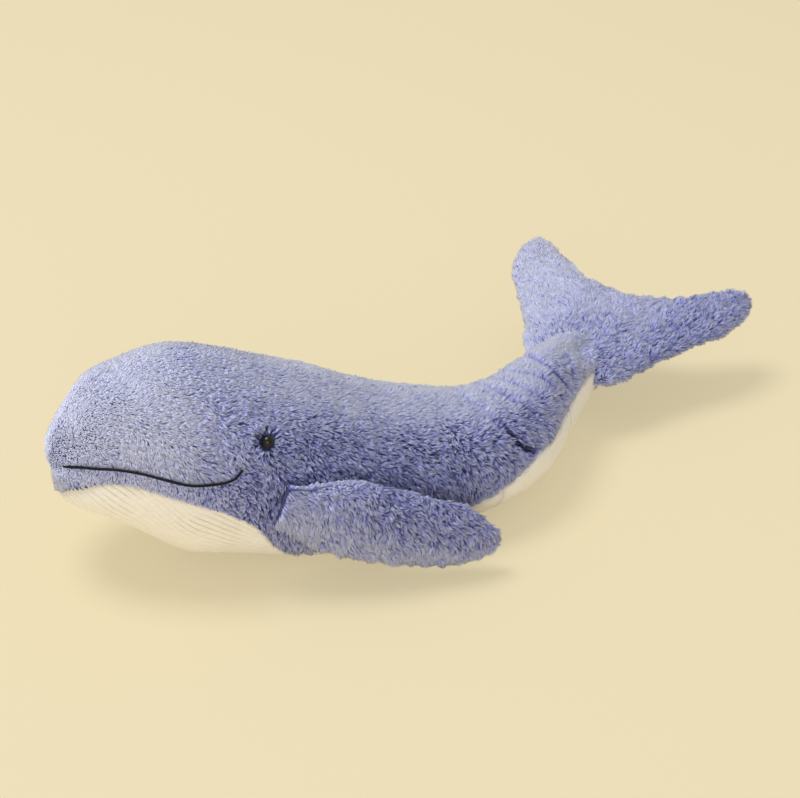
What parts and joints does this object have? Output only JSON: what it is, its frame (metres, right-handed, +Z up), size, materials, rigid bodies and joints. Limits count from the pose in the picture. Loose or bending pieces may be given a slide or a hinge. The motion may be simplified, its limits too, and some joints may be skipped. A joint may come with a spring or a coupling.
{
  "type": "plush toy whale",
  "caption": "Stuffed toy whale in long-pile plush with a corduroy belly, lying with its tail bent to one side; tail, flukes and flippers bend on their seams.",
  "frame": {"origin": "middle of the flat on which the belly rests, on the floor", "axes": "+X from the nose to the tail, +Z up, -Y to the whale's left side, which faces the camera in the picture"},
  "size_m": [0.5363, 0.3274, 0.1481],
  "materials": {
    "plush": "long pile plush",
    "corduroy": "ribbed corduroy",
    "stuffing": "polyester fibre",
    "pellets": "cloth bag of plastic pellets",
    "eye_black": "polished",
    "washer_plastic": "moulded",
    "thread": "twisted embroidery thread"
  },
  "bodies": {
    "trunk": {"trunk_cover_left": "plush", "trunk_cover_right": "plush", "trunk_belly_panel": "corduroy", "trunk_stuffing": "stuffing", "pellet_bag": "pellets", "eye_left": "eye_black", "eye_right": "eye_black", "eye_washer_left": "washer_plastic", "eye_washer_right": "washer_plastic", "mouth_thread": "thread"},
    "tail_front": {"tail_front_cover_left": "plush", "tail_front_cover_right": "plush", "tail_front_belly_panel": "corduroy", "tail_front_stuffing": "stuffing"},
    "tail_rear": {"tail_rear_cover_left": "plush", "tail_rear_cover_right": "plush", "tail_rear_belly_panel": "corduroy", "tail_rear_stuffing": "stuffing"},
    "flukes": {"fluke_upper_panel": "plush", "fluke_under_panel": "plush", "fluke_stuffing": "stuffing"},
    "flipper_left": {"flipper_left_outer_panel": "plush", "flipper_left_inner_panel": "plush", "flipper_left_stuffing": "stuffing"},
    "flipper_right": {"flipper_right_outer_panel": "plush", "flipper_right_inner_panel": "plush", "flipper_right_stuffing": "stuffing"}
  },
  "joints": [
    {"name": "tail_bend", "type": "hinge", "parent": "trunk", "child": "tail_front", "pos_m": [0.071, 0.00009, 0.04695], "axis": [0.0226, -0.9997, 0.0043], "range_deg": [-12, 30], "stiffness_Nm_per_rad": 6, "springref_deg": 1.15},
    {"name": "tail_swing", "type": "hinge", "parent": "tail_front", "child": "tail_rear", "pos_m": [0.1345, 0.01809, 0.04622], "axis": [-0.0632, 0.0939, 0.9936], "range_deg": [-65, 15], "stiffness_Nm_per_rad": 3},
    {"name": "fluke_bend", "type": "hinge", "parent": "tail_rear", "child": "flukes", "pos_m": [0.2289, 0.11431, 0.05141], "axis": [0.7224, -0.6736, 0.1564], "range_deg": [-25, 25], "stiffness_Nm_per_rad": 1.5, "springref_deg": 0.46},
    {"name": "flipper_left_swing", "type": "hinge", "parent": "trunk", "child": "flipper_left", "pos_m": [-0.031, -0.07033, 0.067], "axis": [-0.3251, 0.017, -0.9455], "range_deg": [0, 75], "stiffness_Nm_per_rad": 0.4},
    {"name": "flipper_right_swing", "type": "hinge", "parent": "trunk", "child": "flipper_right", "pos_m": [-0.031, 0.07033, 0.067], "axis": [0.3251, 0.017, 0.9455], "range_deg": [0, 75], "stiffness_Nm_per_rad": 0.4}
  ]
}
